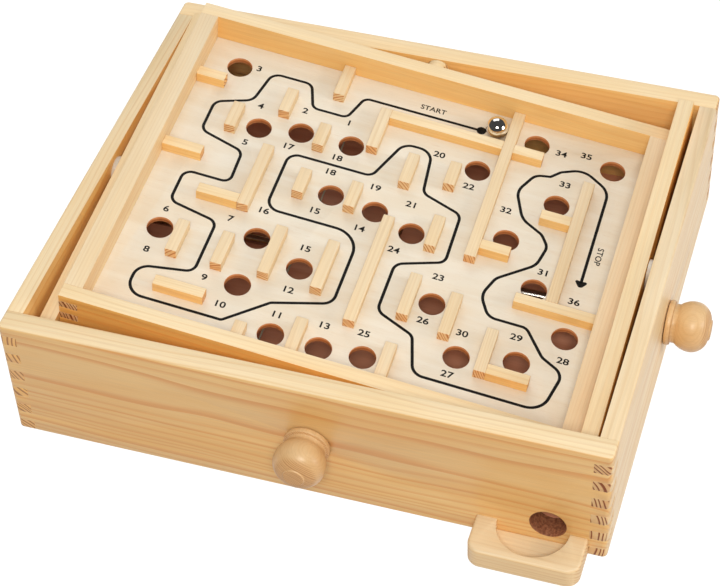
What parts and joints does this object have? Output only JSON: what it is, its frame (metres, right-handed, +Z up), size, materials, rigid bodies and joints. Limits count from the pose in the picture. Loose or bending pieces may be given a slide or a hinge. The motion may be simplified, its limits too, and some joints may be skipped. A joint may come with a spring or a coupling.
{
  "type": "tilt maze game",
  "caption": "Tabletop tilt maze: wooden box, two nested tilting frames worked by side knobs, numbered maze board with holes, steel ball, sloped return floor and catch tray.",
  "frame": {"origin": "middle of the casing's plan, on the underside (the middle floor batten's foot), on the table", "axes": "+X to the right along the front wall, +Y towards the back wall, +Z up. The frames are stored tilted: ring 4.5 degrees about +X, tray 7.5 degrees about the ring's own +Y"},
  "size_m": [0.3764, 0.3224, 0.1134],
  "materials": {
    "casing_wood": "satin varnished pine",
    "frame_wood": "satin varnished pine",
    "board_wood": "pale plywood, printed route and numbers",
    "strip_wood": "pale pine",
    "knob_wood": "turned beech, lacquered",
    "floor_wood": "plain plywood",
    "steel": "drawn steel rod",
    "ball_steel": "polished",
    "washer_white": "white nylon",
    "cord": "twisted nylon cord"
  },
  "bodies": {
    "casing": {"ball_floor": "floor_wood", "ball_guide": "casing_wood", "case_back": "casing_wood", "case_front": "casing_wood", "case_left": "casing_wood", "case_right": "casing_wood", "catch_tray": "casing_wood", "floor_battens": "casing_wood", "ring_pin_left": "steel", "ring_pin_right": "steel", "ring_washer_left": "washer_white", "ring_washer_right": "washer_white"},
    "ring": {"ring_back_bar": "frame_wood", "ring_front_bar": "frame_wood", "ring_left_bar": "frame_wood", "ring_right_bar": "frame_wood", "ring_spring": "steel", "ring_string_back": "cord", "ring_string_front": "cord", "ring_string_screws": "steel", "tray_pin_back": "steel", "tray_pin_front": "steel", "tray_washer_back": "washer_white", "tray_washer_front": "washer_white"},
    "tray": {"maze_board": "board_wood", "maze_wall_back_stub": "strip_wood", "maze_wall_finish": "strip_wood", "maze_wall_finish_foot": "strip_wood", "maze_wall_left_bar": "strip_wood", "maze_wall_left_corner": "strip_wood", "maze_wall_left_foot": "strip_wood", "maze_wall_long_back": "strip_wood", "maze_wall_long_middle": "strip_wood", "maze_wall_right_corner": "strip_wood", "maze_wall_right_foot": "strip_wood", "maze_wall_start": "strip_wood", "maze_wall_start_end": "strip_wood", "maze_walls_front_rail": "strip_wood", "maze_walls_left_rail": "strip_wood", "maze_walls_medium": "strip_wood", "maze_walls_short": "strip_wood", "maze_walls_stubs": "strip_wood", "maze_walls_tall": "strip_wood", "tray_back_rail": "frame_wood", "tray_front_rail": "frame_wood", "tray_left_rail": "frame_wood", "tray_right_rail": "frame_wood", "tray_spring": "steel", "tray_string_left": "cord", "tray_string_right": "cord", "tray_string_screws": "steel"},
    "ball": {"ball": "ball_steel"},
    "front_control": {"front_collar": "steel", "front_knob": "knob_wood", "front_shaft": "steel", "tray_string_coil": "cord"},
    "right_control": {"right_collar": "steel", "right_knob": "knob_wood", "right_shaft": "steel", "ring_string_coil": "cord"}
  },
  "joints": [
    {"name": "ring_tilt", "type": "hinge", "parent": "casing", "child": "ring", "pos_m": [0, 0, 0.0725], "axis": [1, 0, 0], "range_deg": [-9.5, 0.5], "deforming": ["ring_string_front", "ring_string_back", "ring_spring"]},
    {"name": "tray_tilt", "type": "hinge", "parent": "ring", "child": "tray", "pos_m": [0, 0, 0.0725], "axis": [0, 0.9969, 0.0785], "range_deg": [-15.5, 0.5], "deforming": ["tray_string_left", "tray_string_right", "tray_spring"]},
    {"name": "ball_roll", "type": "slide", "parent": "tray", "child": "ball", "axis": [0.9914, 0.0102, -0.1301], "range_m": [-0.088, 0]},
    {"name": "front_knob_turn", "type": "hinge", "parent": "casing", "child": "front_control", "pos_m": [0.005, -0.1415, 0.044], "axis": [0, 1, 0], "range_deg": [-4, 108]},
    {"name": "right_knob_turn", "type": "hinge", "parent": "casing", "child": "right_control", "pos_m": [0.169, 0.0025, 0.034], "axis": [1, 0, 0], "range_deg": [-6, 93]}
  ],
  "couplings": [
    {"joint": "right_knob_turn", "follows": "ring_tilt", "ratio": -9.7},
    {"joint": "front_knob_turn", "follows": "tray_tilt", "ratio": -6.9}
  ]
}
